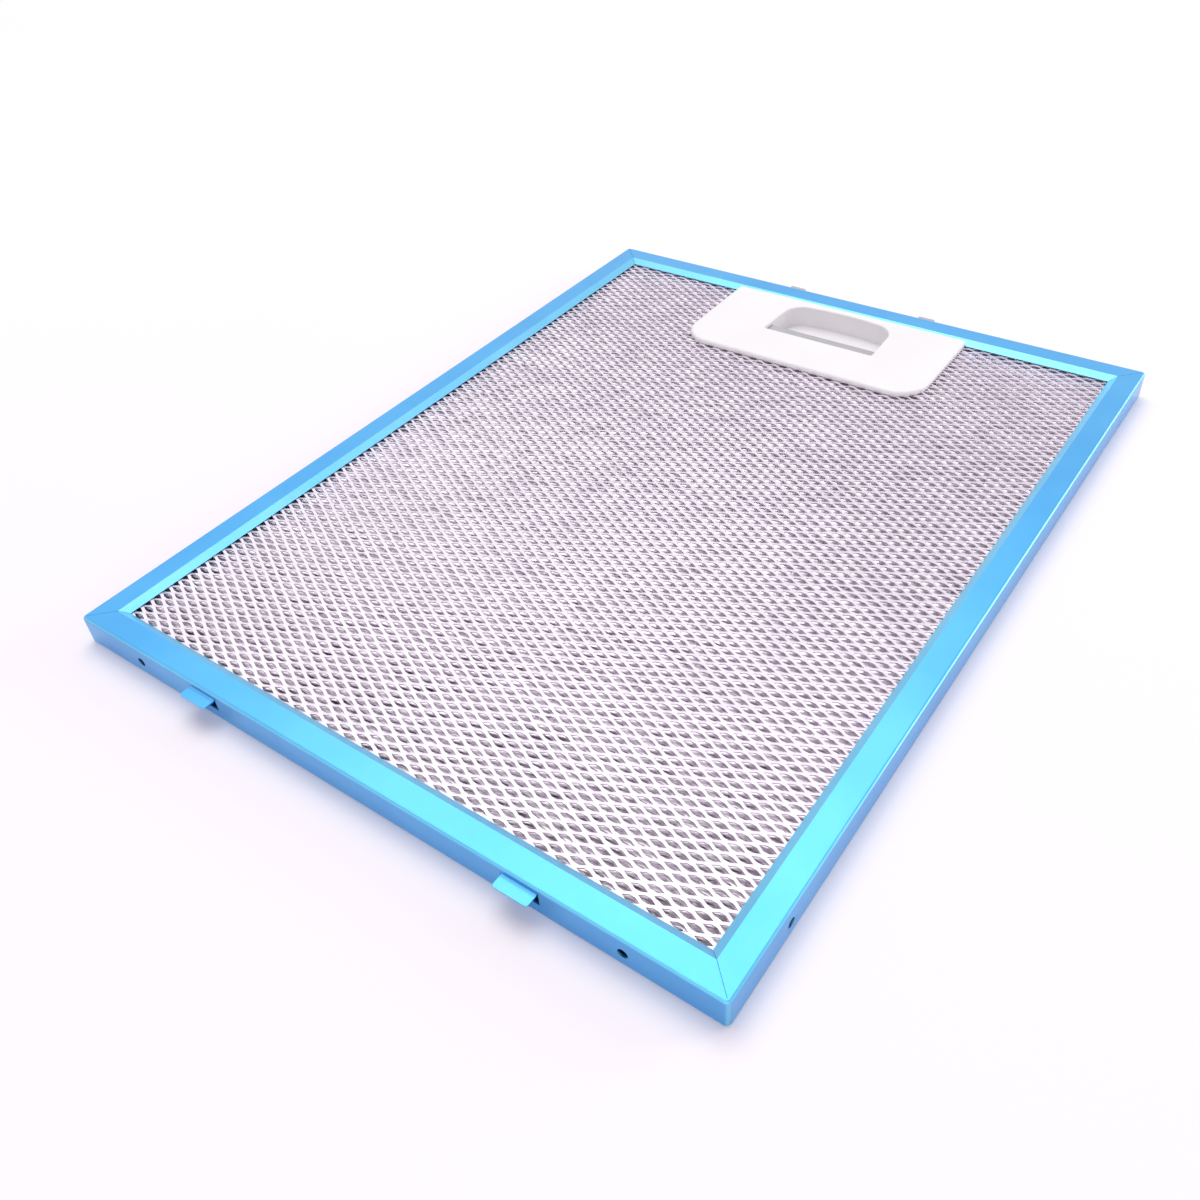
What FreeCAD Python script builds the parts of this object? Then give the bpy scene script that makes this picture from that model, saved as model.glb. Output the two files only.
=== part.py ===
import FreeCAD, Part
import math
import os

# Cooker hood grease filter, in millimetres.
# X runs across the filter, Y from the tongue edge to the handle edge, Z out of the handle face.
# The origin is the middle of the underside.

# Frame: one strip of sheet folded to a channel and round four corners
frame_width = 250.0
frame_length = 323.0
frame_height = 11.0
sheet = 0.5
flange_flat = 8.5
lip_reach = 2.6
lip_drop = 1.8
edge_radius = 1.0
corner_radius = 1.6
mitre_gap = 0.12
mitre_web = 1.4

# Tongues lanced out of the front wall
tongue_spacing = 126.0
tongue_width = 11.6
tongue_reach = 4.2
tongue_drop = 2.2
tongue_bend = 0.5
tongue_corner = 1.0
window_side_gap = 0.4

# Drain holes in the front and side walls
drain_diameter = 3.2
drain_from_corner = 30.0

# Mesh pack
inner_layers = 3
mesh_edge_gap = 1.0
mesh_handle_gap = 0.5
mesh_notch_bevel = 3.0
mesh_border = 3.0
strand_lean = 1.0
ridge_height = 0.7
outer_gap_long = 22.0
outer_gap_short = 12.0
outer_pitch_long = 38.5
outer_pitch_short = 22.8
inner_gap_long = 58.0
inner_gap_short = 31.0
inner_pitch_long = 84.0
inner_pitch_short = 47.0

# Handle
handle_width = 110.0
handle_depth = 52.2
handle_corner = 12.5
handle_edge = 0.7
handle_back_edge = 0.3
lip_gap = 0.15
plate_drop = 0.3
skirt_inset = 4.0
skirt_back_gap = 0.8
skirt_wall = 1.5
boss_side = 5.0
pin_side = 2.6
pin_length = 4.0
pin_clearance = 0.2
boss_side_inset = 9.5
boss_end_inset = 9.5
tenon_width = 10.0
tenon_spacing = 88.0
tenon_reach = 7.0
tenon_clearance = 0.2

# Finger opening in the handle
opening_width = 51.0
opening_far_width = 49.0
opening_depth = 26.7
opening_arch = 2.2
opening_from_wall = 12.8
opening_far_corner = 9.5
opening_near_bevel = 0.6
opening_edge = 0.5
recess_wall = 1.2
recess_floor = 1.0

# Latch slider: a pull bar with two arms that end in noses
nose_spacing = 63.0
nose_width = 7.0
nose_reach = 4.2
nose_drop = 1.8
nose_tip = 2.2
arm_height = 5.0
bar_thickness = 7.5
bar_show = 7.3
bar_edge = 0.6
latch_travel = 5.0
slide_gap = 0.3
slot_gap = 0.4
guide_wall = 1.2

# Latch spring: a bent strip between the bar and the front of the handle
spring_sheet = 0.4
spring_span = 58.0
spring_foot = 6.0
spring_crown = 14.0
spring_gap = 0.2

# Two places closer than this count as the same
near_zero = 1e-6

# Heights and places that follow from the sizes above
bend_bevel = 2 - math.sqrt(2)
half_width = frame_width / 2
half_length = frame_length / 2
lip_angle = math.atan2(lip_drop, lip_reach)
lip_end = flange_flat + lip_reach
pack_top = frame_height - lip_drop - sheet * math.cos(lip_angle)
pack_bottom = frame_height - pack_top
pack_middle = frame_height / 2
layer_height = (pack_top - pack_bottom) / (inner_layers + 2)
plate_top = frame_height - plate_drop
plate_bottom = plate_drop
lip_slope = lip_drop / lip_reach
lap_start = half_length - lip_end - lip_gap
lap_height = frame_height - lip_drop + lip_gap / math.cos(lip_angle)
handle_back = half_length - lip_end + (plate_top - handle_back_edge - lap_height) / lip_slope
handle_front = handle_back - handle_depth
skirt_back = half_length - lip_end - skirt_back_gap
skirt_front = handle_front + skirt_inset
skirt_half = handle_width / 2 - skirt_inset
opening_far = half_length - opening_from_wall
opening_near = opening_far - opening_depth
floor_top = plate_bottom + recess_floor
bar_back = opening_near + bar_show
bar_front = bar_back - bar_thickness
bar_half = nose_spacing / 2 + nose_width / 2
spring_wall = skirt_front + skirt_wall


def point(x, y, z):
    return FreeCAD.Vector(x, y, z)


def box(x0, x1, y0, y1, z0, z1):
    return Part.makeBox(x1 - x0, y1 - y0, z1 - z0, point(x0, y0, z0))


def upright_edges(shape, wanted):
    # Straight edges along Z whose place passes the test
    found = []
    for edge in shape.Edges:
        start = edge.Vertexes[0].Point
        end = edge.Vertexes[-1].Point
        leaning = math.hypot(start.x - end.x, start.y - end.y) > near_zero
        level = abs(start.z - end.z) < near_zero
        if not leaning and not level and wanted(start):
            found.append(edge)
    return found


def level_edges(shape, height):
    # Edges that lie wholly at one height
    return [e for e in shape.Edges if all(abs(v.Point.z - height) < near_zero for v in e.Vertexes)
            and abs(e.CenterOfMass.z - height) < near_zero]


def mitred_ring(profile):
    # A profile of (inset, height) points carried round the rectangular frame with mitred corners
    loops = []
    for inset, height in profile:
        x = half_width - inset
        y = half_length - inset
        loops.append([point(-x, -y, height), point(x, -y, height), point(x, y, height), point(-x, y, height)])
    faces = []
    for index, loop in enumerate(loops):
        following = loops[(index + 1) % len(loops)]
        for side in range(4):
            turn = (side + 1) % 4
            corners = [loop[side], loop[turn], following[turn], following[side], loop[side]]
            faces.append(Part.Face(Part.makePolygon(corners)))
    ring = Part.Solid(Part.makeShell(faces))
    if ring.Volume < 0:
        ring.reverse()
    return ring.removeSplitter()


def channel():
    # Both flanges end in a lip that slopes in to the mesh pack
    bend = sheet * math.tan(lip_angle / 2)
    lip_under = lip_end - sheet * math.sin(lip_angle)
    upper = [(flange_flat, frame_height), (lip_end, frame_height - lip_drop), (lip_under, pack_top),
             (flange_flat - bend, frame_height - sheet), (sheet, frame_height - sheet)]
    lower = [(inset, frame_height - height) for inset, height in reversed(upper)]
    ring = mitred_ring([(0, frame_height)] + upper + lower + [(0, 0)])
    corners = upright_edges(ring, lambda p: abs(abs(p.x) - half_width) < near_zero)
    ring = ring.makeFillet(corner_radius, corners)
    inner = upright_edges(ring, lambda p: abs(abs(p.x) - half_width + sheet) < near_zero)
    ring = ring.makeFillet(corner_radius - sheet, inner)
    inner_rims = outer_rim(ring, sheet, sheet) + outer_rim(ring, sheet, frame_height - sheet)
    ring = ring.makeChamfer((edge_radius - sheet) * bend_bevel, inner_rims)
    return ring.makeFillet(edge_radius, outer_rim(ring, 0, 0) + outer_rim(ring, 0, frame_height))


def outer_rim(ring, inset, height):
    # The edges round the wall at one height: straight runs at this inset, and the corner arcs between them
    found = []
    for edge in level_edges(ring, height):
        middle = edge.valueAt((edge.FirstParameter + edge.LastParameter) / 2)
        from_side = min(half_width - abs(middle.x), half_length - abs(middle.y))
        if from_side < inset + corner_radius / 2:
            found.append(edge)
    return found


def mitre_slits():
    # The notched flanges meet at 45 degrees with a hairline gap, and the wall runs on round the corner
    slits = []
    reach = (lip_end - mitre_web) * math.sqrt(2)
    for side_x in (-1, 1):
        for side_y in (-1, 1):
            slit = Part.makeBox(reach + sheet, mitre_gap, frame_height, point(0, -mitre_gap / 2, 0))
            heading = math.degrees(math.atan2(-side_y, -side_x))
            slit.rotate(point(0, 0, 0), point(0, 0, 1), heading)
            slit.translate(point(side_x * (half_width - mitre_web), side_y * (half_length - mitre_web), 0))
            slits.append(slit)
    return slits


def tongue(centre_x):
    # Sheet bent out of the wall through a right angle, hanging from the bend at its root
    wall = -half_length
    top = frame_height - tongue_drop
    root = top + tongue_bend
    turn = wall - tongue_bend
    tip = wall - tongue_reach
    inner = tongue_bend * math.sqrt(0.5)
    outer = (tongue_bend + sheet) * math.sqrt(0.5)
    x = centre_x - tongue_width / 2
    edges = [
        Part.Arc(point(x, wall, root), point(x, turn + inner, root - inner), point(x, turn, top)).toShape(),
        Part.makeLine(point(x, turn, top), point(x, tip, top)),
        Part.makeLine(point(x, tip, top), point(x, tip, top - sheet)),
        Part.makeLine(point(x, tip, top - sheet), point(x, turn, top - sheet)),
        Part.Arc(point(x, turn, top - sheet), point(x, turn + outer, root - outer),
                 point(x, wall + sheet, root)).toShape(),
        Part.makeLine(point(x, wall + sheet, root), point(x, wall, root)),
    ]
    solid = Part.Face(Part.Wire(edges)).extrude(point(tongue_width, 0, 0))
    tips = upright_edges(solid, lambda p: abs(p.y - tip) < near_zero)
    return solid.makeFillet(tongue_corner, tips)


def tongue_window(centre_x):
    # The hole that the tongue leaves below its root, as long as the tongue was before it was bent
    half = tongue_width / 2 + window_side_gap
    root = frame_height - tongue_drop + tongue_bend
    length = tongue_reach - tongue_bend + (tongue_bend + sheet / 2) * math.pi / 2
    return box(centre_x - half, centre_x + half, -half_length - sheet, -half_length + 2 * sheet,
               root - length, root)


def drain_holes():
    holes = []
    radius = drain_diameter / 2
    drill = 4 * sheet
    for side in (-1, 1):
        along_front = point(side * (half_width - drain_from_corner), -half_length - sheet, pack_middle)
        holes.append(Part.makeCylinder(radius, drill, along_front, point(0, 1, 0)))
        along_side = point(side * (half_width + sheet), -half_length + drain_from_corner, pack_middle)
        holes.append(Part.makeCylinder(radius, drill, along_side, point(-side, 0, 0)))
    return holes


def nose_slot(centre_x):
    half = nose_width / 2 + slot_gap
    return box(centre_x - half, centre_x + half, half_length - 2 * sheet, half_length + sheet,
               pack_middle - arm_height / 2 - slot_gap, frame_height - nose_drop + slot_gap)


def frame():
    tongues = [side * tongue_spacing / 2 for side in (-1, 1)]
    noses = [side * nose_spacing / 2 for side in (-1, 1)]
    cuts = mitre_slits() + drain_holes()
    cuts += [tongue_window(x) for x in tongues]
    cuts += [nose_slot(x) for x in noses]
    body = channel().cut(Part.makeCompound(cuts))
    return body.fuse([tongue(x) for x in tongues]).removeSplitter()


def diamond(centre_x, centre_y, long_way, short_way, z0, lean):
    # A gap between leaning strands, cut on a slant through one layer
    corners = [point(centre_x - long_way / 2, centre_y - lean / 2, z0),
               point(centre_x, centre_y - lean / 2 - short_way / 2, z0),
               point(centre_x + long_way / 2, centre_y - lean / 2, z0),
               point(centre_x, centre_y - lean / 2 + short_way / 2, z0)]
    face = Part.Face(Part.makePolygon(corners + corners[:1]))
    return face.extrude(point(0, lean, layer_height))


def mesh_rows(short_way, pitch_short, lean):
    # Places of the rows of gaps along the filter, evenly about its middle
    room = half_length - lip_end - mesh_border - (short_way + abs(lean)) / 2
    steps = int(room * 2 / (pitch_short / 2))
    return [(step - steps / 2) * pitch_short / 2 for step in range(steps + 1)]


def mesh_gaps(z0, long_way, short_way, pitch_long, pitch_short, lean):
    # Staggered rows of diamonds over the open face, clear of the lips and of the handle
    room_x = half_width - lip_end - mesh_border - long_way / 2
    clear_x = handle_width / 2 + mesh_border + long_way / 2
    clear_y = handle_front - mesh_border - (short_way + abs(lean)) / 2
    gaps = []
    for row, y in enumerate(mesh_rows(short_way, pitch_short, lean)):
        start = 0.0 if row % 2 else pitch_long / 2
        columns = int((room_x - start) / pitch_long)
        places = {side * (start + column * pitch_long) for side in (-1, 1) for column in range(columns + 1)}
        for x in sorted(places):
            if abs(x) >= clear_x or y <= clear_y:
                gaps.append(diamond(x, y, long_way, short_way, z0, lean))
    return gaps


def ridged_sheet(z0, rows, lean):
    # Each row of strands leans, so the outer face falls from row to row and steps up again at the bonds
    side = half_width - sheet - mesh_edge_gap
    end = half_length - sheet - mesh_edge_gap
    inner, outer = (z0, z0 + layer_height) if lean > 0 else (z0 + layer_height, z0)
    valley = outer - math.copysign(ridge_height, lean)
    crest_shift = abs(lean) / 2
    valley_shift = abs(lean) * (0.5 - ridge_height / layer_height)
    outline = [(-end, inner), (-end, outer), (rows[0] + crest_shift, outer)]
    for row in rows[1:]:
        outline += [(row + valley_shift, valley), (row + crest_shift, outer)]
    outline += [(end, outer), (end, inner)]
    corners = [point(-side, y, z) for y, z in outline]
    return Part.Face(Part.makePolygon(corners + corners[:1])).extrude(point(2 * side, 0, 0))


def handle_notch(z0, z1):
    # Room for the walls of the handle, out to the back edge of the sheet
    half = skirt_half + mesh_handle_gap
    front = skirt_front - mesh_handle_gap
    notch = box(-half, half, front, half_length, z0, z1)
    return notch.makeChamfer(mesh_notch_bevel, upright_edges(notch, lambda p: abs(p.y - front) < near_zero))


def outer_mesh(level, lean):
    z0 = pack_bottom + level * layer_height
    rows = mesh_rows(outer_gap_short, outer_pitch_short, lean)
    cuts = mesh_gaps(z0, outer_gap_long, outer_gap_short, outer_pitch_long, outer_pitch_short, lean)
    cuts.append(handle_notch(z0, z0 + layer_height))
    return ridged_sheet(z0, rows, lean).cut(Part.makeCompound(cuts))


def inner_mesh(level, lean):
    z0 = pack_bottom + level * layer_height
    z1 = z0 + layer_height
    side = half_width - sheet - mesh_edge_gap
    end = half_length - sheet - mesh_edge_gap
    cuts = mesh_gaps(z0, inner_gap_long, inner_gap_short, inner_pitch_long, inner_pitch_short, lean)
    cuts.append(handle_notch(z0, z1))
    return box(-side, side, -end, end, z0, z1).cut(Part.makeCompound(cuts))


def handle_outline(z0, z1, inset, back, corner):
    # A block with two rounded front corners, inset from the outline of the handle
    half = handle_width / 2 - inset
    front = handle_front + inset
    block = box(-half, half, front, back, z0, z1)
    return block.makeFillet(corner, upright_edges(block, lambda p: abs(p.y - front) < near_zero))


def finger_opening(z0, z1, grow):
    # Straight near edge, tapering sides and an arched far edge, grown outwards on the sides and the far edge
    near = opening_width / 2 + grow
    far = opening_far_width / 2 + grow
    top = opening_far + grow
    shoulder = top - opening_arch
    edges = [
        Part.makeLine(point(-far, shoulder, z0), point(-near, opening_near, z0)),
        Part.makeLine(point(-near, opening_near, z0), point(near, opening_near, z0)),
        Part.makeLine(point(near, opening_near, z0), point(far, shoulder, z0)),
        Part.Arc(point(far, shoulder, z0), point(0, top, z0), point(-far, shoulder, z0)).toShape(),
    ]
    block = Part.Face(Part.Wire(edges)).extrude(point(0, 0, z1 - z0))
    far_corners = upright_edges(block, lambda p: p.y > opening_near + near_zero)
    block = block.makeFillet(opening_far_corner + grow, far_corners)
    near_corners = upright_edges(block, lambda p: p.y < opening_near + near_zero)
    return block.makeChamfer(opening_near_bevel, near_corners)


def front_rim(plate, height):
    # The free edges of a handle plate: all but the one on the lip
    return [e for e in level_edges(plate, height) if e.CenterOfMass.y < handle_back - near_zero]


def boss_places():
    x = handle_width / 2 - boss_side_inset
    rows = (handle_front + boss_end_inset, skirt_back - boss_end_inset)
    return [(side * x, y) for side in (-1, 1) for y in rows]


def post(place, side, z0, z1):
    x, y = place
    return box(x - side / 2, x + side / 2, y - side / 2, y + side / 2, z0, z1)


def inside_opening(place):
    across = abs(place.x) < opening_width / 2 + recess_wall
    return across and opening_near - recess_wall < place.y < opening_far + recess_wall


def lip_relief(mirror):
    # What the edge of a handle plate leaves free for the sloping lip of the back rail
    half = handle_width / 2
    rise = (plate_top - lap_height) / lip_slope
    outline = [(lap_start, pack_top), (lap_start, lap_height - lip_gap * lip_slope),
               (lap_start + lip_gap + rise, plate_top), (half_length, plate_top), (half_length, pack_top)]
    corners = [point(-half, y, frame_height - z if mirror else z) for y, z in outline]
    return Part.Face(Part.makePolygon(corners + corners[:1])).extrude(point(2 * half, 0, 0))


def handle_cover():
    # Face plate with the finger opening and four pins that press into the tray
    plate = handle_outline(pack_top, plate_top, 0, handle_back, handle_corner)
    plate = plate.makeChamfer(handle_edge, front_rim(plate, plate_top))
    plate = plate.cut([finger_opening(pack_top, plate_top, 0), lip_relief(False)])
    opening_rim = [e for e in level_edges(plate, plate_top) if inside_opening(e.CenterOfMass)]
    plate = plate.makeChamfer(opening_edge, opening_rim)
    pins = [post(place, pin_side, pack_top - pin_length, pack_top) for place in boss_places()]
    return plate.fuse(pins).removeSplitter()


def handle_skirt():
    outer = handle_outline(pack_bottom, pack_top, skirt_inset, skirt_back, handle_corner - skirt_inset)
    inner = handle_outline(pack_bottom, pack_top, skirt_inset + skirt_wall, skirt_back - skirt_wall,
                           handle_corner - skirt_inset - skirt_wall)
    return outer.cut(inner)


def recess_walls():
    # Side and far walls of the finger recess, open on the near side where the pull bar closes it
    outer = finger_opening(pack_bottom, pack_top, recess_wall)
    near_half = opening_width / 2 + recess_wall
    open_side = box(-near_half, near_half, opening_near, bar_back + slide_gap, pack_bottom, pack_top)
    return outer.cut(open_side)


def slider_guides():
    inner = bar_half + slot_gap
    back = bar_back + slide_gap
    return [box(x, x + guide_wall, spring_wall, back, pack_bottom, pack_top)
            for x in (-inner - guide_wall, inner)]


def tenons():
    # Feet that reach between the lips of the back rail and hold the handle in the frame
    half = tenon_width / 2
    return [box(x - half, x + half, skirt_back, skirt_back + tenon_reach,
                pack_bottom + tenon_clearance, pack_top - tenon_clearance)
            for x in (-tenon_spacing / 2, tenon_spacing / 2)]


def handle_base():
    # Tray: a plate on the hidden face with the walls of the handle and of the finger recess standing on it
    plate = handle_outline(plate_bottom, pack_bottom, 0, handle_back, handle_corner)
    plate = plate.makeChamfer(handle_edge, front_rim(plate, plate_bottom)).cut(lip_relief(True))
    walls = [handle_skirt(), recess_walls()] + slider_guides() + tenons()
    walls += [post(place, boss_side, pack_bottom, pack_top) for place in boss_places()]
    arm = nose_width / 2 + slot_gap
    cuts = [box(x - arm, x + arm, skirt_back - skirt_wall, skirt_back, pack_bottom, pack_top)
            for x in (-nose_spacing / 2, nose_spacing / 2)]
    cuts.append(finger_opening(floor_top, pack_top, 0))
    cuts += [post(place, pin_side + 2 * pin_clearance, pack_top - pin_length - pin_clearance, pack_top)
             for place in boss_places()]
    return plate.fuse(walls).cut(Part.makeCompound(cuts)).removeSplitter()


def slider_arm(centre_x):
    # Side view of one arm: it passes between the lips, then rises to the nose in the back rail
    low = pack_middle - arm_height / 2
    high = pack_middle + arm_height / 2
    nose_top = frame_height - nose_drop
    tip = half_length + nose_reach
    rise = half_length - flange_flat + latch_travel + slide_gap
    x = centre_x - nose_width / 2
    outline = [(bar_front, low), (half_length, low), (tip, nose_top - nose_tip), (tip, nose_top),
               (rise, nose_top), (rise, high), (bar_front, high)]
    corners = [point(x, y, z) for y, z in outline]
    return Part.Face(Part.makePolygon(corners + corners[:1])).extrude(point(nose_width, 0, 0))


def latch_slider():
    bar = box(-bar_half, bar_half, bar_front, bar_back, pack_bottom + slide_gap, pack_top - slide_gap)
    bar = bar.makeFillet(bar_edge, [e for e in level_edges(bar, pack_top - slide_gap)
                                    if abs(e.CenterOfMass.y - bar_back) < near_zero])
    arms = [slider_arm(side * nose_spacing / 2) for side in (-1, 1)]
    return bar.fuse(arms).removeSplitter()


def latch_spring():
    # Feet on the front wall of the handle, two sloping legs and a flat crown on the bar
    z = pack_bottom + slide_gap
    foot = spring_wall + spring_gap
    crown = bar_front - spring_gap
    toe = spring_span / 2
    heel = toe - spring_foot
    shoulder = spring_crown / 2
    leg = math.atan2(crown - spring_sheet - foot, heel - shoulder)
    bend = spring_sheet * math.tan(leg / 2)
    near = [(-toe, foot), (-heel + bend, foot), (-shoulder - bend, crown - spring_sheet)]
    far = [(-shoulder, crown), (-heel, foot + spring_sheet), (-toe, foot + spring_sheet)]
    outline = near + [(-x, y) for x, y in reversed(near)] + [(-x, y) for x, y in reversed(far)] + far
    corners = [point(x, y, z) for x, y in outline]
    return Part.Face(Part.makePolygon(corners + corners[:1])).extrude(point(0, 0, pack_top - slide_gap - z))


def main():
    os.makedirs("parts", exist_ok=True)
    nodes = {
        "frame": frame(),
        "front_mesh": outer_mesh(inner_layers + 1, strand_lean),
        "back_mesh": outer_mesh(0, -strand_lean),
        "handle_cover": handle_cover(),
        "handle_base": handle_base(),
        "latch_slider": latch_slider(),
        "latch_spring": latch_spring(),
    }
    for level in range(1, inner_layers + 1):
        nodes[f"inner_mesh_{level}"] = inner_mesh(level, strand_lean if level % 2 else -strand_lean)
    for name, shape in nodes.items():
        print(name, len(shape.Solids), shape.isValid(), round(shape.Volume, 1))
        shape.exportStep(f"parts/{name}.step")


main()
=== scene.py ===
import math
import bmesh
import bpy
import numpy as np
from mathutils import Matrix, Vector

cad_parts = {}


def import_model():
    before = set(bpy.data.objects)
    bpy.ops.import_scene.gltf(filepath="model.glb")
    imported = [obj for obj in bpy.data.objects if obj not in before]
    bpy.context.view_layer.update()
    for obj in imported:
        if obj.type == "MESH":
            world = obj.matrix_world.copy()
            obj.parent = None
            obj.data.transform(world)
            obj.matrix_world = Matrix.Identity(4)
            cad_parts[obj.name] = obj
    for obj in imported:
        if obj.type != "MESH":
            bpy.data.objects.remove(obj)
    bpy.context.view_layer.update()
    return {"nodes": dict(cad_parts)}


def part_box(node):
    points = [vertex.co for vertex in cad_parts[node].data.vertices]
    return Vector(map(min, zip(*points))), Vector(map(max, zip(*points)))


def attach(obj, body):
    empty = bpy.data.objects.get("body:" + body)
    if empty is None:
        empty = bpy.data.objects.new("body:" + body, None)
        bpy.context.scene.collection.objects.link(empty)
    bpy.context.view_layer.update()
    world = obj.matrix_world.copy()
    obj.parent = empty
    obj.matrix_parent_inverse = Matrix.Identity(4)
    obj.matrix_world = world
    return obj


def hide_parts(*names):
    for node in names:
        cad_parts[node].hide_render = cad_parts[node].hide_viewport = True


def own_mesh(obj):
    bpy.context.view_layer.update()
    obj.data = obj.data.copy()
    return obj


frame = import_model()
mm = 0.001
print("frame loaded")


# Shared helpers

def newPiece(name, mesh, material, body):
    piece = bpy.data.objects.new(name, mesh)
    bpy.context.scene.collection.objects.link(piece)
    mesh.materials.append(material)
    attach(piece, body)
    return piece


def closeMesh(bm, mesh, sharpAngle):
    bmesh.ops.recalc_face_normals(bm, faces=bm.faces)
    bm.to_mesh(mesh)
    bm.free()
    mesh.polygons.foreach_set("use_smooth", np.ones(len(mesh.polygons), bool))
    mesh.set_sharp_from_angle(angle=sharpAngle)


def newMaterial(name, **sockets):
    material = bpy.data.materials.new(name)
    material.use_nodes = True
    shader = material.node_tree.nodes["Principled BSDF"]
    for socket, value in sockets.items():
        shader.inputs[socket.replace("_", " ")].default_value = value
    return material, shader


def addNode(material, kind, **values):
    node = material.node_tree.nodes.new(kind)
    for key, value in values.items():
        if key in node.inputs:
            node.inputs[key].default_value = value
        else:
            setattr(node, key, value)
    return node


def link(material, start, end):
    material.node_tree.links.new(start, end)


def noise(material, scale, stretch=(1, 1, 1), detail=3.0):
    # object coordinates, so the grain has a real size in metres
    place = addNode(material, "ShaderNodeTexCoord")
    mapping = addNode(material, "ShaderNodeMapping")
    mapping.inputs["Scale"].default_value = stretch
    grain = addNode(material, "ShaderNodeTexNoise", Scale=scale, Detail=detail)
    link(material, place.outputs["Object"], mapping.inputs["Vector"])
    link(material, mapping.outputs["Vector"], grain.inputs["Vector"])
    return grain.outputs["Fac"]


def spread(material, factor, low, high, start=0.35, end=0.65):
    ramp = addNode(material, "ShaderNodeMapRange")
    ramp.inputs["From Min"].default_value = start
    ramp.inputs["From Max"].default_value = end
    ramp.inputs["To Min"].default_value = low
    ramp.inputs["To Max"].default_value = high
    link(material, factor, ramp.inputs["Value"])
    return ramp.outputs["Result"]


def tint(material, factor, dark, light, start=0.35, end=0.65):
    ramp = addNode(material, "ShaderNodeValToRGB")
    ramp.color_ramp.elements[0].position = start
    ramp.color_ramp.elements[0].color = (*dark, 1)
    ramp.color_ramp.elements[1].position = end
    ramp.color_ramp.elements[1].color = (*light, 1)
    link(material, factor, ramp.inputs["Fac"])
    return ramp.outputs["Color"]


def bump(material, shader, factor, depth):
    node = addNode(material, "ShaderNodeBump", Distance=depth)
    link(material, factor, node.inputs["Height"])
    link(material, node.outputs["Normal"], shader.inputs["Normal"])


# Materials

def foldHighlightMask(material):
    # 1 on folds and lips, 0 on the flats, from the surface's own direction: the mask of a painted
    # highlight along the folds and lips
    place = addNode(material, "ShaderNodeTexCoord")
    square = addNode(material, "ShaderNodeVectorMath", operation="MULTIPLY")
    flatness = addNode(material, "ShaderNodeVectorMath", operation="DOT_PRODUCT")
    for side in (0, 1):
        link(material, place.outputs["Normal"], square.inputs[side])
        link(material, square.outputs["Vector"], flatness.inputs[side])
    return spread(material, flatness.outputs["Value"], 1, 0, start=0.55, end=0.9)


blueFilm = {
    "cloud": 28,
    "tones": ((0.055, 0.36, 0.755), (0.072, 0.405, 0.8)),
    "foldHighlightTones": ((0.15, 0.53, 0.82), (0.19, 0.59, 0.86)),  # painted highlight: paler where the sheet is folded and on the lips
    "grain": 1900,
    "grainDetail": 2.0,
    "roughness": (0.29, 0.36),
    "bump": 0.01 * mm,
}
brightMesh = {
    "cloud": 55,
    "tones": ((0.65, 0.585, 0.668), (0.705, 0.635, 0.722)),
    "grain": 1400,
    "grainDetail": 3.0,
    "roughness": (0.4, 0.58),
    "bump": 0.04 * mm,
}
# the inner sheets are the same aluminium as the outer ones, painted lighter: painted light in the holes
# between the outer strands
innerMeshPaintedLight = dict(brightMesh, tones=((0.96, 0.89, 0.965), (0.985, 0.915, 0.985)))
whiteMoulding = {
    "cloud": 40,
    "tones": ((0.875, 0.855, 0.877), (0.9, 0.88, 0.902)),
    "grain": 2600,
    "grainDetail": 2.0,
    "roughness": (0.34, 0.46),
    "bump": 0.02 * mm,
}
greyMoulding = {
    "cloud": 60,
    "tones": ((0.42, 0.41, 0.44), (0.48, 0.47, 0.5)),
    "grain": 2200,
    "grainDetail": 2.0,
    "roughness": (0.42, 0.56),
    "bump": 0.02 * mm,
}
steelStrip = {
    "streak": 900,
    "stretch": (0.06, 1, 1),
    "tones": ((0.5, 0.5, 0.52), (0.66, 0.66, 0.68)),
    "roughness": (0.22, 0.4),
    "bump": 0.02 * mm,
}
mixSockets = {"share": 0, "flats": 6, "folds": 7, "colour": 2}  # the colour sockets of a Mix node


def grainyMaterial(name, look, **sockets):
    # slow clouds in the colour, fine grain in the gloss and the surface
    material, shader = newMaterial(name, **sockets)
    cloud = noise(material, look["cloud"])
    colour = tint(material, cloud, *look["tones"])
    if "foldHighlightTones" in look:
        # the folds and lips take a painted highlight colour over the film's own tone
        mix = addNode(material, "ShaderNodeMix", data_type="RGBA")
        link(material, foldHighlightMask(material), mix.inputs[mixSockets["share"]])
        link(material, colour, mix.inputs[mixSockets["flats"]])
        link(material, tint(material, cloud, *look["foldHighlightTones"]), mix.inputs[mixSockets["folds"]])
        colour = mix.outputs[mixSockets["colour"]]
    link(material, colour, shader.inputs["Base Color"])
    grain = noise(material, look["grain"], detail=look["grainDetail"])
    link(material, spread(material, grain, *look["roughness"]), shader.inputs["Roughness"])
    bump(material, shader, grain, look["bump"])
    return material


def springSteel():
    material, shader = newMaterial("spring_steel", Metallic=1.0)
    streak = noise(material, steelStrip["streak"], stretch=steelStrip["stretch"])
    link(material, tint(material, streak, *steelStrip["tones"]), shader.inputs["Base Color"])
    link(material, spread(material, streak, *steelStrip["roughness"]), shader.inputs["Roughness"])
    bump(material, shader, streak, steelStrip["bump"])
    return material


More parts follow.
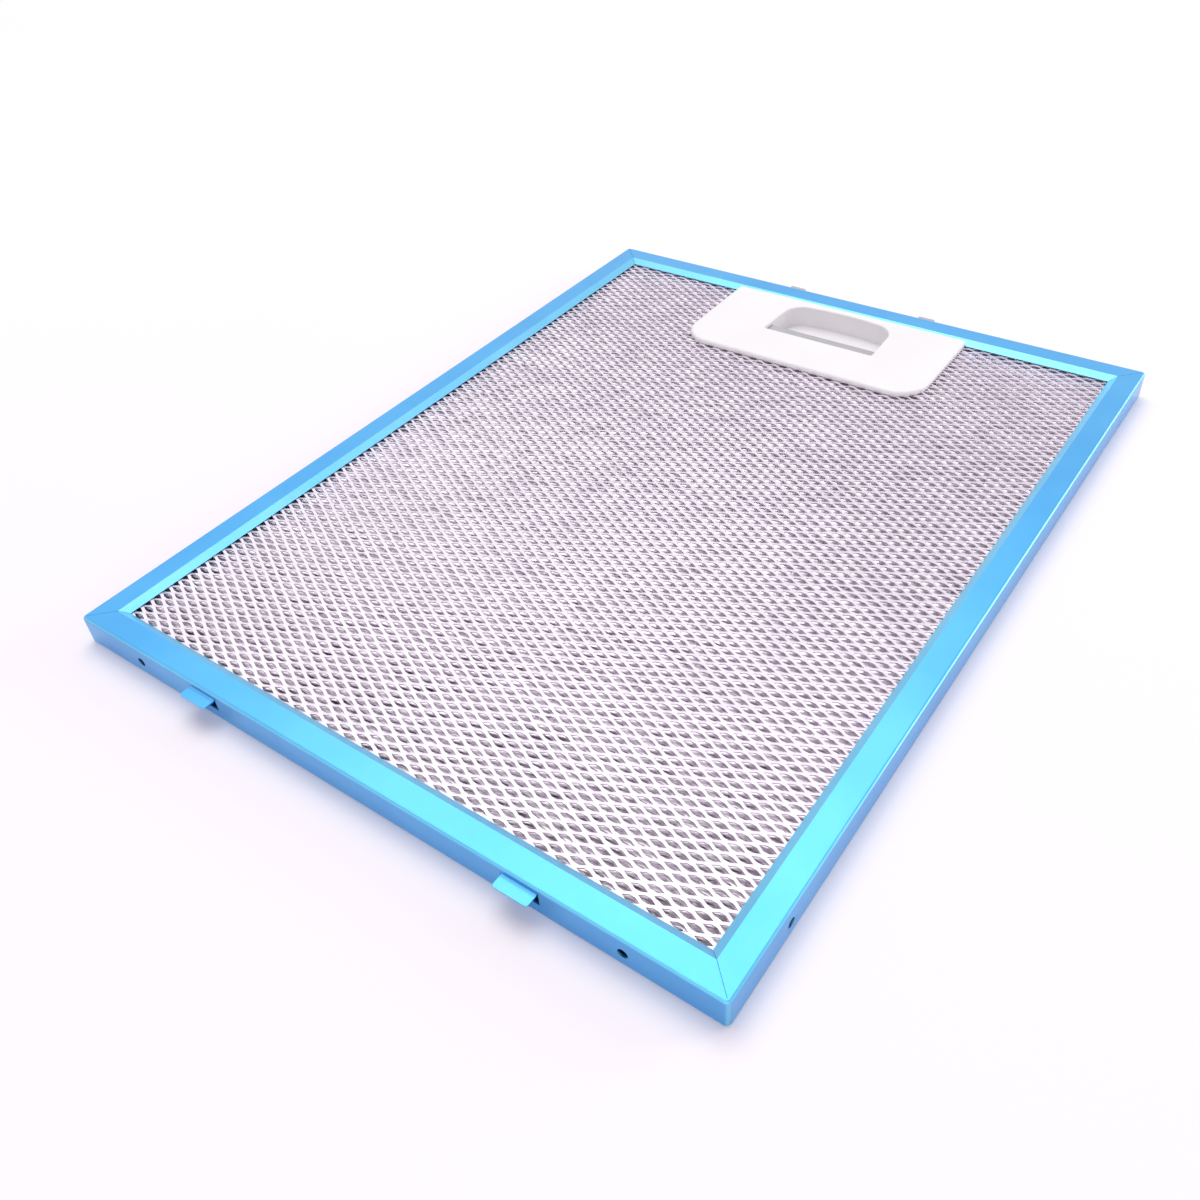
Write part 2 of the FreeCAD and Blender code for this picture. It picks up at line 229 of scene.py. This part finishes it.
blue = grainyMaterial("blue_film_aluminium", blueFilm, Metallic=0.62, Coat_Weight=0.3, Coat_Roughness=0.2)
meshMetal = grainyMaterial("bright_mesh_aluminium", brightMesh, Metallic=1.0)
innerMetalPaintedLight = grainyMaterial("inner_mesh_aluminium_painted_light", innerMeshPaintedLight, Metallic=1.0)
white = grainyMaterial("white_moulded_plastic", whiteMoulding, IOR=1.5)
grey = grainyMaterial("grey_moulded_plastic", greyMoulding, IOR=1.48)
steel = springSteel()
print("materials made")


# CAD nodes that stay

def dress(node, material):
    slots = frame["nodes"][node].data.materials
    slots.clear()
    slots.append(material)


dress("frame", blue)
dress("handle_base", white)
dress("latch_slider", grey)


# Expanded mesh: rows of zigzag strands that share a bond with the row above and the row below

sheetMesh = {
    "longWay": 7.14 * mm,
    "shortWay": 3.94 * mm,
    "strand": 1.17 * mm,
    "sheet": 0.3 * mm,
    "bond": 1.7 * mm,
    "tilt": math.radians(8),
    "unevenness": 0.05 * mm,
    "innerUnevenness": 0.3 * mm,
    "unevenShare": (0.6, 1, 0.2),  # how much of it goes each way
    "edgeGap": 0.6 * mm,
    "notchInset": 3.5 * mm,
    "notchBevel": 3 * mm,
    "sharpAngle": math.radians(40),
}


def strandRuns(row, firstY, spec, columns, notch):
    # unbroken stretches of one row: the whole width, or the two sides of the handle
    y = firstY + row * spec["shortWay"] / 2
    past = y + spec["strand"] - notch["front"]
    if past < 0:
        return [list(columns)]
    room = notch["half"] + spec["bond"] / 2 - max(spec["notchBevel"] - past, 0)
    left = [c for c in columns if c * spec["longWay"] / 2 < -room]
    right = [c for c in columns if c * spec["longWay"] / 2 > room]
    return [left, right]


def expandedSheet(name, node, lean, outside, seed, flatBonds):
    # lean is the way the strands tilt, and outside the face of the node that they lie at
    spec = sheetMesh
    low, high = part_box(node)
    plateLow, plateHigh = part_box("handle_base")
    notch = {"half": plateHigh[0] - spec["notchInset"], "front": plateLow[1] + spec["notchInset"]}
    halfHeight = (spec["strand"] * math.sin(spec["tilt"]) + spec["sheet"] * math.cos(spec["tilt"])) / 2
    middle = high[2] - halfHeight if outside > 0 else low[2] + halfHeight
    firstY = low[1] + spec["edgeGap"] + spec["strand"]
    rows = int((high[1] - spec["edgeGap"] - spec["strand"] - firstY) / (spec["shortWay"] / 2)) + 1
    reach = int((high[0] - spec["edgeGap"]) / (spec["longWay"] / 2))
    columns = range(-reach, reach + 1)
    across = np.array([0, math.cos(spec["tilt"]), lean * math.sin(spec["tilt"])])
    outward = np.array([0, -lean * math.sin(spec["tilt"]), math.cos(spec["tilt"])])
    corners = [(across * a * spec["strand"] + outward * b * spec["sheet"]) / 2
               for a, b in ((-1, -1), (1, -1), (1, 1), (-1, 1))]
    random = np.random.default_rng(seed)
    loose = spec["unevenness"] if flatBonds else spec["innerUnevenness"]
    uneven = random.normal(0, loose, (rows + 1, len(columns), 3)) * spec["unevenShare"]
    offsets = (-spec["bond"] / 2, spec["bond"] / 2) if flatBonds else (0,)
    points = []
    faces = []
    for row in range(rows):
        for run in strandRuns(row, firstY, spec, columns, notch):
            centres = []
            for column in run:
                upper = (row + column) % 2 == 0
                bondRow = row + 1 if upper else row
                bond = np.array([column * spec["longWay"] / 2,
                                 firstY + (bondRow - 0.5) * spec["shortWay"] / 2, middle])
                bond = bond + uneven[bondRow, column + reach]
                side = -0.5 if upper else 0.5
                for offset in offsets:
                    centres.append(bond + across * side * spec["strand"] + (offset, 0, 0))
            start = len(points)
            for centre in centres:
                points.extend(centre + corner for corner in corners)
            last = start + 4 * (len(centres) - 1)
            for base in range(start, last, 4):
                for i in range(4):
                    j = (i + 1) % 4
                    faces.append((base + i, base + j, base + 4 + j, base + 4 + i))
            faces.append((start, start + 3, start + 2, start + 1))
            faces.append((last, last + 1, last + 2, last + 3))
    mesh = bpy.data.meshes.new(name)
    mesh.from_pydata([tuple(p) for p in points], [], faces)
    bm = bmesh.new()
    bm.from_mesh(mesh)
    closeMesh(bm, mesh, spec["sharpAngle"])
    # the inner sheets take the lighter copy, painted light seen through the holes
    piece = newPiece(name, mesh, meshMetal if flatBonds else innerMetalPaintedLight, "filter")
    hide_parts(node)


expandedSheet("front_sheet", "front_mesh", lean=-1, outside=1, seed=11, flatBonds=True)
expandedSheet("back_sheet", "back_mesh", lean=1, outside=-1, seed=12, flatBonds=True)
for level in (1, 2, 3):
    expandedSheet(f"inner_sheet_{level}", f"inner_mesh_{level}", lean=1 if level % 2 else -1,
                  outside=level - 2, seed=20 + level, flatBonds=False)
print("expanded sheets made")


# Handle face plate with soft edges and the finger opening

plate = {
    "frontCorner": 12.5 * mm,
    "backCorner": 0.6 * mm,
    "edgeRound": 1.3 * mm,
    "backEdge": 0.3 * mm,
    "lipSlope": 1.8 / 2.6,
    "lipReach": 11.25 * mm,  # how far the back rail and its lip reach in, with a hairline of play
    "openingWidth": 51 * mm,
    "openingFarWidth": 49 * mm,
    "openingDepth": 26.7 * mm,
    "openingArch": 2.2 * mm,
    "openingFromWall": 12.8 * mm,
    "openingFarCorner": 9.5 * mm,
    "openingNearCorner": 0.8 * mm,
    "openingRound": 0.7 * mm,
    "archRound": 0.5 * mm,
    "archSteps": 7,
    "arcSteps": 12,
    "edgeSteps": 6,
    "openingSteps": 4,
    "sharpAngle": math.radians(35),
}


def roundedLoop(corners, radii, steps):
    # corner points in order, each replaced by an arc of its radius
    loop = []
    count = len(corners)
    for i in range(count):
        corner = Vector(corners[i])
        back = (Vector(corners[i - 1]) - corner).normalized()
        ahead = (Vector(corners[(i + 1) % count]) - corner).normalized()
        half = back.angle(ahead) / 2
        reach = radii[i] / math.tan(half)
        centre = corner + (back + ahead).normalized() * (radii[i] / math.sin(half))
        start = corner + back * reach - centre
        end = corner + ahead * reach - centre
        turn = start.angle(end)
        for step in range(steps + 1):
            share = step / steps
            spoke = start * math.sin((1 - share) * turn) + end * math.sin(share * turn)
            loop.append(centre + spoke / math.sin(turn))
    return loop


def outerLoop(inset, drop):
    # the back edge is thin and slopes in under itself, along the lip of the rail
    low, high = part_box("handle_cover")
    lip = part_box("frame")[1][1] - plate["lipReach"]
    x = high[0] - inset
    y0 = low[1] + inset
    y1 = max(high[1] - max(drop - plate["backEdge"], 0) / plate["lipSlope"], lip)
    front = plate["frontCorner"] - inset
    back = plate["backCorner"]
    corners = [(-x, y0), (x, y0), (x, y1), (-x, y1)]
    return roundedLoop(corners, [front, front, back, back], plate["arcSteps"])


def openingLoop(grow):
    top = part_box("frame")[1][1] - plate["openingFromWall"]
    near = top - plate["openingDepth"]
    nearHalf = plate["openingWidth"] / 2
    farHalf = plate["openingFarWidth"] / 2
    shoulder = top - plate["openingArch"]
    arch = []
    for step in range(1, plate["archSteps"]):
        share = 1 - 2 * step / plate["archSteps"]
        arch.append((farHalf * share, top - plate["openingArch"] * share * share))
    corners = [(-nearHalf - grow, near - grow), (nearHalf + grow, near - grow)]
    corners.append((farHalf + grow, shoulder + grow))
    corners += [(x, y + grow) for x, y in arch]
    corners.append((-farHalf - grow, shoulder + grow))
    nearRadius = plate["openingNearCorner"] + grow
    farRadius = plate["openingFarCorner"] + grow
    radii = [nearRadius, nearRadius, farRadius] + [plate["archRound"]] * len(arch) + [farRadius]
    return roundedLoop(corners, radii, plate["arcSteps"])


def roundProfile(radius, steps):
    # (inset, drop) pairs from the top of a rounded edge down to its side
    quarter = math.pi / 2
    return [(radius * (1 - math.sin(quarter * i / steps)), radius * (1 - math.cos(quarter * i / steps)))
            for i in range(steps + 1)]


def addLoop(bm, loop, height):
    return [bm.verts.new((p[0], p[1], height)) for p in loop]


def skin(bm, loops):
    for upper, lower in zip(loops, loops[1:]):
        for i in range(len(upper)):
            j = (i + 1) % len(upper)
            bm.faces.new((upper[i], upper[j], lower[j], lower[i]))


def fillBetween(bm, loopA, loopB):
    edges = []
    for loop in (loopA, loopB):
        for i in range(len(loop)):
            pair = (loop[i], loop[(i + 1) % len(loop)])
            edges.append(bm.edges.get(pair) or bm.edges.new(pair))
    bmesh.ops.triangle_fill(bm, edges=edges, use_beauty=True)


def handlePlate():
    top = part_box("handle_cover")[1][2]
    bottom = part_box("front_mesh")[1][2]
    bm = bmesh.new()
    outer = [addLoop(bm, outerLoop(inset, drop), top - drop)
             for inset, drop in roundProfile(plate["edgeRound"], plate["edgeSteps"])]
    outer.append(addLoop(bm, outerLoop(0, top - bottom), bottom))
    inner = [addLoop(bm, openingLoop(inset), top - drop)
             for inset, drop in roundProfile(plate["openingRound"], plate["openingSteps"])]
    inner.append(addLoop(bm, openingLoop(0), bottom))
    skin(bm, outer)
    skin(bm, inner)
    fillBetween(bm, outer[0], inner[0])
    fillBetween(bm, outer[-1], inner[-1])
    mesh = bpy.data.meshes.new("handle_plate")
    closeMesh(bm, mesh, plate["sharpAngle"])
    piece = newPiece("handle_plate", mesh, white, "filter")
    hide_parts("handle_cover")


handlePlate()
print("handle plate made")


# Leaf spring between the pull bar and the front of the handle

leaf = {
    "foot": 6 * mm,
    "crown": 14 * mm,
    "sheet": 0.4 * mm,
    "steps": 40,
    "sharpAngle": math.radians(40),
}


def leafSpring():
    low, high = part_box("latch_spring")
    half = high[0]
    heel = half - leaf["foot"]
    shoulder = leaf["crown"] / 2
    rise = high[1] - low[1] - leaf["sheet"]
    path = []
    for step in range(leaf["steps"] + 1):
        x = -half + 2 * half * step / leaf["steps"]
        share = min(max((heel - abs(x)) / (heel - shoulder), 0), 1)
        path.append((x, low[1] + rise * share * share * (3 - 2 * share)))
    bm = bmesh.new()
    sections = []
    for x, y in path:
        section = [(y, low[2]), (y + leaf["sheet"], low[2]), (y + leaf["sheet"], high[2]), (y, high[2])]
        sections.append([bm.verts.new((x, sy, sz)) for sy, sz in section])
    skin(bm, sections)
    bm.faces.new(sections[0])
    bm.faces.new(sections[-1])
    mesh = bpy.data.meshes.new("leaf_spring")
    closeMesh(bm, mesh, leaf["sharpAngle"])
    piece = newPiece("leaf_spring", mesh, steel, "filter")
    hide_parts("latch_spring")
    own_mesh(piece)


leafSpring()
print("leaf spring made")


# Floor, light and camera

studio = {
    "floorSize": 6.0,
    "floorShadeTint": (1, 0.935, 0.975),  # pink near the filter, a painted shade colour that shows where the floor lies in shadow; white further off
    "floorFade": (0.25, 0.7),
    "floorWhite": (0.6, 1.1),  # from here on the floor is as white to the eye as the backdrop
    "floorDrop": 0.05 * mm,
    "roomColour": (1, 0.93, 0.985),
    "roomStrength": 0.46,
    "boxPlace": (-0.45, 0.5, 1.9),
    "boxSize": 1.7,
    "boxPower": 25,
    "boxColour": (0.97, 1, 0.98),
    "fillPlace": (0.5, -1.1, 0.8),
    "fillSize": 1.6,
    "fillPower": 5,
    "sidePlace": (1.0, 1.1, 0.45),
    "sideSize": 0.7,
    "sidePower": 6,
}


def floor():
    bm = bmesh.new()
    bmesh.ops.create_grid(bm, x_segments=1, y_segments=1, size=studio["floorSize"] / 2)
    mesh = bpy.data.meshes.new("floor")
    bm.to_mesh(mesh)
    bm.free()
    piece = bpy.data.objects.new("floor", mesh)
    piece.location.z = -studio["floorDrop"]
    bpy.context.scene.collection.objects.link(piece)
    material, shader = newMaterial("pale_floor", Roughness=0.9)
    shader.inputs["Specular IOR Level"].default_value = 0
    place = addNode(material, "ShaderNodeTexCoord")
    away = addNode(material, "ShaderNodeVectorMath", operation="LENGTH")
    link(material, place.outputs["Object"], away.inputs[0])
    farColour = (1, 1, 1)
    # painted shade colour: pink near the filter, fading to white further off
    colour = tint(material, away.outputs["Value"], studio["floorShadeTint"], farColour, *studio["floorFade"])
    link(material, colour, shader.inputs["Base Color"])
    rays = addNode(material, "ShaderNodeLightPath")
    seenFar = addNode(material, "ShaderNodeMath", operation="MULTIPLY")
    link(material, spread(material, away.outputs["Value"], 0, 1, *studio["floorWhite"]), seenFar.inputs[0])
    link(material, rays.outputs["Is Camera Ray"], seenFar.inputs[1])
    glow = addNode(material, "ShaderNodeEmission", Color=(1, 1, 1, 1), Strength=1)
    mix = addNode(material, "ShaderNodeMixShader")
    link(material, seenFar.outputs["Value"], mix.inputs["Fac"])
    link(material, shader.outputs["BSDF"], mix.inputs[1])
    link(material, glow.outputs["Emission"], mix.inputs[2])
    link(material, mix.outputs["Shader"], material.node_tree.nodes["Material Output"].inputs["Surface"])
    mesh.materials.append(material)


def world():
    place = bpy.data.worlds.new("studio")
    place.use_nodes = True
    nodes = place.node_tree.nodes
    background = nodes["Background"]
    background.inputs["Color"].default_value = (*studio["roomColour"], 1)
    background.inputs["Strength"].default_value = studio["roomStrength"]
    seen = nodes.new("ShaderNodeBackground")
    seen.inputs["Color"].default_value = (1, 1, 1, 1)
    rays = nodes.new("ShaderNodeLightPath")
    mix = nodes.new("ShaderNodeMixShader")
    links = place.node_tree.links
    whiteFor = rays.outputs["Is Camera Ray"]  # the backdrop is white to the eye and in gloss
    for kind in ("Is Glossy Ray", "Is Transmission Ray"):
        either = nodes.new("ShaderNodeMath")
        either.operation = "MAXIMUM"
        links.new(whiteFor, either.inputs[0])
        links.new(rays.outputs[kind], either.inputs[1])
        whiteFor = either.outputs["Value"]
    links.new(whiteFor, mix.inputs["Fac"])
    links.new(background.outputs["Background"], mix.inputs[1])
    links.new(seen.outputs["Background"], mix.inputs[2])
    links.new(mix.outputs["Shader"], nodes["World Output"].inputs["Surface"])
    bpy.context.scene.world = place


def softBox(name, place, size, power, colour=(1, 1, 1)):
    # aimed at the middle of the filter
    data = bpy.data.lights.new(name, "AREA")
    data.shape = "SQUARE"
    data.size = size
    data.energy = power
    data.color = colour
    lamp = bpy.data.objects.new(name, data)
    lamp.location = place
    lamp.rotation_euler = (-Vector(place)).to_track_quat("-Z", "Y").to_euler()
    bpy.context.scene.collection.objects.link(lamp)


view = {
    "lens": 33.251,
    "sensor": 36.0,
    "clipStart": 10 * mm,
    "place": (187.66 * mm, -273.34 * mm, 248.9 * mm),
    "right": (0.81100, 0.58153, -0.06404),
    "down": (0.34757, -0.56697, -0.74682),
}


def camera():
    data = bpy.data.cameras.new("camera")
    data.lens = view["lens"]
    data.sensor_width = view["sensor"]
    data.clip_start = view["clipStart"]
    eye = bpy.data.objects.new("camera", data)
    right = Vector(view["right"]).normalized()
    up = -Vector(view["down"]).normalized()
    turn = Matrix((right, up, right.cross(up))).transposed()
    eye.matrix_world = Matrix.Translation(view["place"]) @ turn.to_4x4()
    bpy.context.scene.collection.objects.link(eye)
    bpy.context.scene.camera = eye


floor()
world()
softBox("overhead", studio["boxPlace"], studio["boxSize"], studio["boxPower"], studio["boxColour"])
softBox("front_fill", studio["fillPlace"], studio["fillSize"], studio["fillPower"])
softBox("side_fill", studio["sidePlace"], studio["sideSize"], studio["sidePower"])
camera()
bpy.context.scene.view_settings.view_transform = "Standard"
print("studio made")
